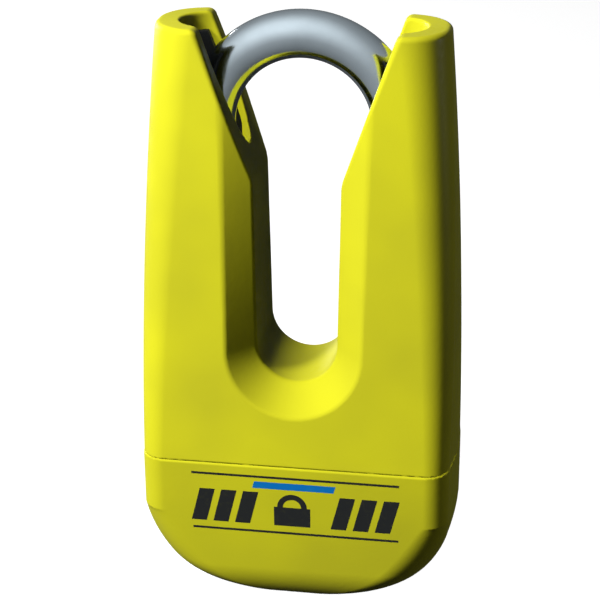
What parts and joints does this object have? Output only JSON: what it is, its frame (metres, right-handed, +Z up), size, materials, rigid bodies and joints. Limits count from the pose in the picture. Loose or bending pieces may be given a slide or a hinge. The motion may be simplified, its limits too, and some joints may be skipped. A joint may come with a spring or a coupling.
{
  "type": "disc brake lock",
  "caption": "Disc brake lock with a two-armed body, a rotor slot under a V mouth, and a removable U shackle bolted at both legs by a keyed cylinder in the base.",
  "frame": {"origin": "centre of the flat under the base, on the surface that the lock stands on", "axes": "+Z up along the shackle's legs, -Y the front with the graphic, +X to the right seen from the front"},
  "size_m": [0.0764, 0.0392, 0.1422],
  "materials": {
    "yellow_coat": "gloss powder coat",
    "polished_steel": "polished hardened steel",
    "hard_steel": "ground hardened steel",
    "seal_rubber": "matt rubber",
    "cylinder_brass": "machined brass",
    "plated_steel": "zinc plated"
  },
  "bodies": {
    "lock_body": {"body_casting": "yellow_coat", "base_cover": "yellow_coat", "guide_sleeve_left": "hard_steel", "guide_sleeve_right": "hard_steel", "groove_liner_left": "seal_rubber", "groove_liner_right": "seal_rubber", "leg_seal_left": "seal_rubber", "leg_seal_right": "seal_rubber", "base_seal": "seal_rubber", "base_screws": "plated_steel", "retaining_pin": "plated_steel", "bolt_guide": "hard_steel", "cylinder_housing": "cylinder_brass", "plug_clip": "plated_steel", "cover_stop_pin": "plated_steel"},
    "shackle": {"shackle": "polished_steel"},
    "core": {"cylinder_plug": "cylinder_brass", "anti_drill_plate": "hard_steel", "detainer_discs": "cylinder_brass", "disc_spacers": "plated_steel", "plug_end_cap": "cylinder_brass", "bolt_cam": "hard_steel", "cam_screw": "plated_steel", "sidebar_springs": "plated_steel"},
    "sidebar": {"sidebar": "hard_steel"},
    "bolt_left": {"bolt_left": "hard_steel"},
    "bolt_right": {"bolt_right": "hard_steel"},
    "keyway_cover": {"keyway_cover": "plated_steel"}
  },
  "joints": [
    {"name": "shackle_lift", "type": "slide", "parent": "lock_body", "child": "shackle", "axis": [0, 0, 1], "range_m": [0, 0.11]},
    {"name": "core_turn", "type": "hinge", "parent": "lock_body", "child": "core", "pos_m": [0, 0, 0.04], "axis": [0, 0, 1], "range_deg": [0, 90]},
    {"name": "bolt_left_slide", "type": "slide", "parent": "lock_body", "child": "bolt_left", "axis": [-1, 0, 0], "range_m": [0, 0.0029]},
    {"name": "bolt_right_slide", "type": "slide", "parent": "lock_body", "child": "bolt_right", "axis": [1, 0, 0], "range_m": [0, 0.0029]},
    {"name": "sidebar_slide", "type": "slide", "parent": "core", "child": "sidebar", "axis": [0, 1, 0], "range_m": [0, 0.001], "deforming": ["sidebar_springs"]},
    {"name": "keyway_cover_slide", "type": "slide", "parent": "lock_body", "child": "keyway_cover", "axis": [1, 0, 0], "range_m": [0, 0.011]}
  ],
  "couplings": [
    {"joint": "bolt_left_slide", "follows": "core_turn", "m_per_rad": 0.001846},
    {"joint": "bolt_right_slide", "follows": "core_turn", "m_per_rad": 0.001846}
  ]
}
